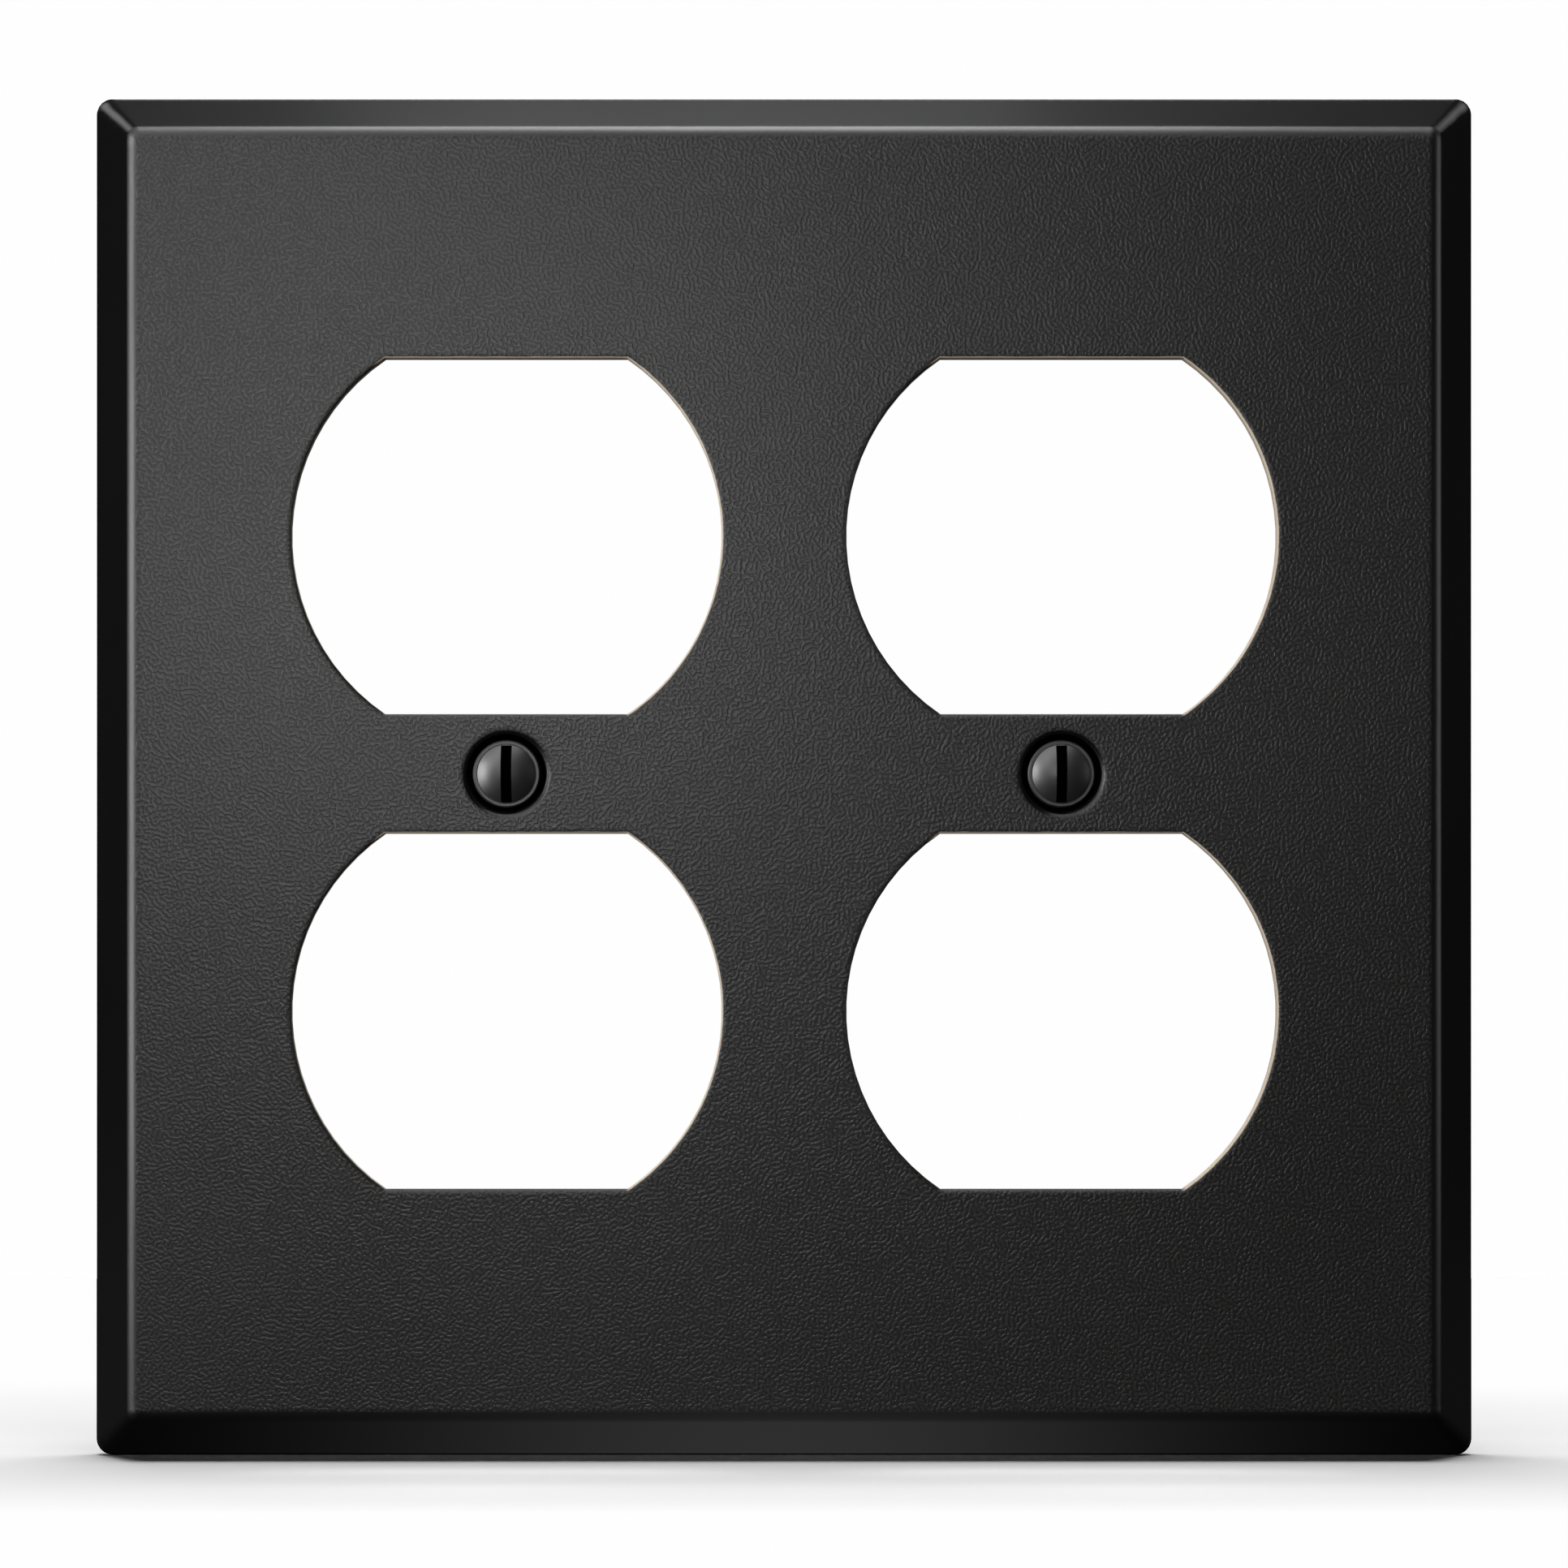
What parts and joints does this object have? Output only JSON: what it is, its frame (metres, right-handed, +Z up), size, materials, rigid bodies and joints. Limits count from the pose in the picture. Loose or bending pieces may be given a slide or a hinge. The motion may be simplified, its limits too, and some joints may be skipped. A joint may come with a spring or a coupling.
{
  "type": "duplex receptacle wall plate",
  "caption": "Formed steel cover plate for duplex wall outlets side by side: bevelled border, flat-sided round openings and captive slotted screws, black wrinkle coat.",
  "frame": {"origin": "centre of the cover's outline, in the plane of the wall that its rim rests on", "axes": "+Y into the wall, so the front face looks along -Y; +Z up; +X to the right as seen from the room"},
  "size_m": [0.116, 0.0137, 0.1142],
  "materials": {
    "plate_coat": "fine wrinkle powder coat, low sheen",
    "screw_coat": "smooth satin black",
    "washer_nylon": "natural nylon, slightly waxy"
  },
  "bodies": {
    "plate": {"wall_plate": "plate_coat"},
    "washer_left": {"retaining_washer_left": "washer_nylon"},
    "screw_left": {"screw_left": "screw_coat"},
    "washer_right": {"retaining_washer_right": "washer_nylon"},
    "screw_right": {"screw_right": "screw_coat"}
  },
  "joints": [
    {"name": "screw_left_advance", "type": "slide", "parent": "plate", "child": "washer_left", "axis": [0, -1, 0], "range_m": [0, 0.00148]},
    {"name": "screw_left_turn", "type": "hinge", "parent": "washer_left", "child": "screw_left", "pos_m": [-0.02302, 0, 0], "axis": [0, -1, 0], "range_deg": [0, 670]},
    {"name": "screw_right_advance", "type": "slide", "parent": "plate", "child": "washer_right", "axis": [0, -1, 0], "range_m": [0, 0.00148]},
    {"name": "screw_right_turn", "type": "hinge", "parent": "washer_right", "child": "screw_right", "pos_m": [0.02302, 0, 0], "axis": [0, -1, 0], "range_deg": [0, 670]}
  ],
  "couplings": [
    {"joint": "screw_left_turn", "follows": "screw_left_advance", "rad_per_m": 7915.8},
    {"joint": "screw_right_turn", "follows": "screw_right_advance", "rad_per_m": 7915.8}
  ]
}
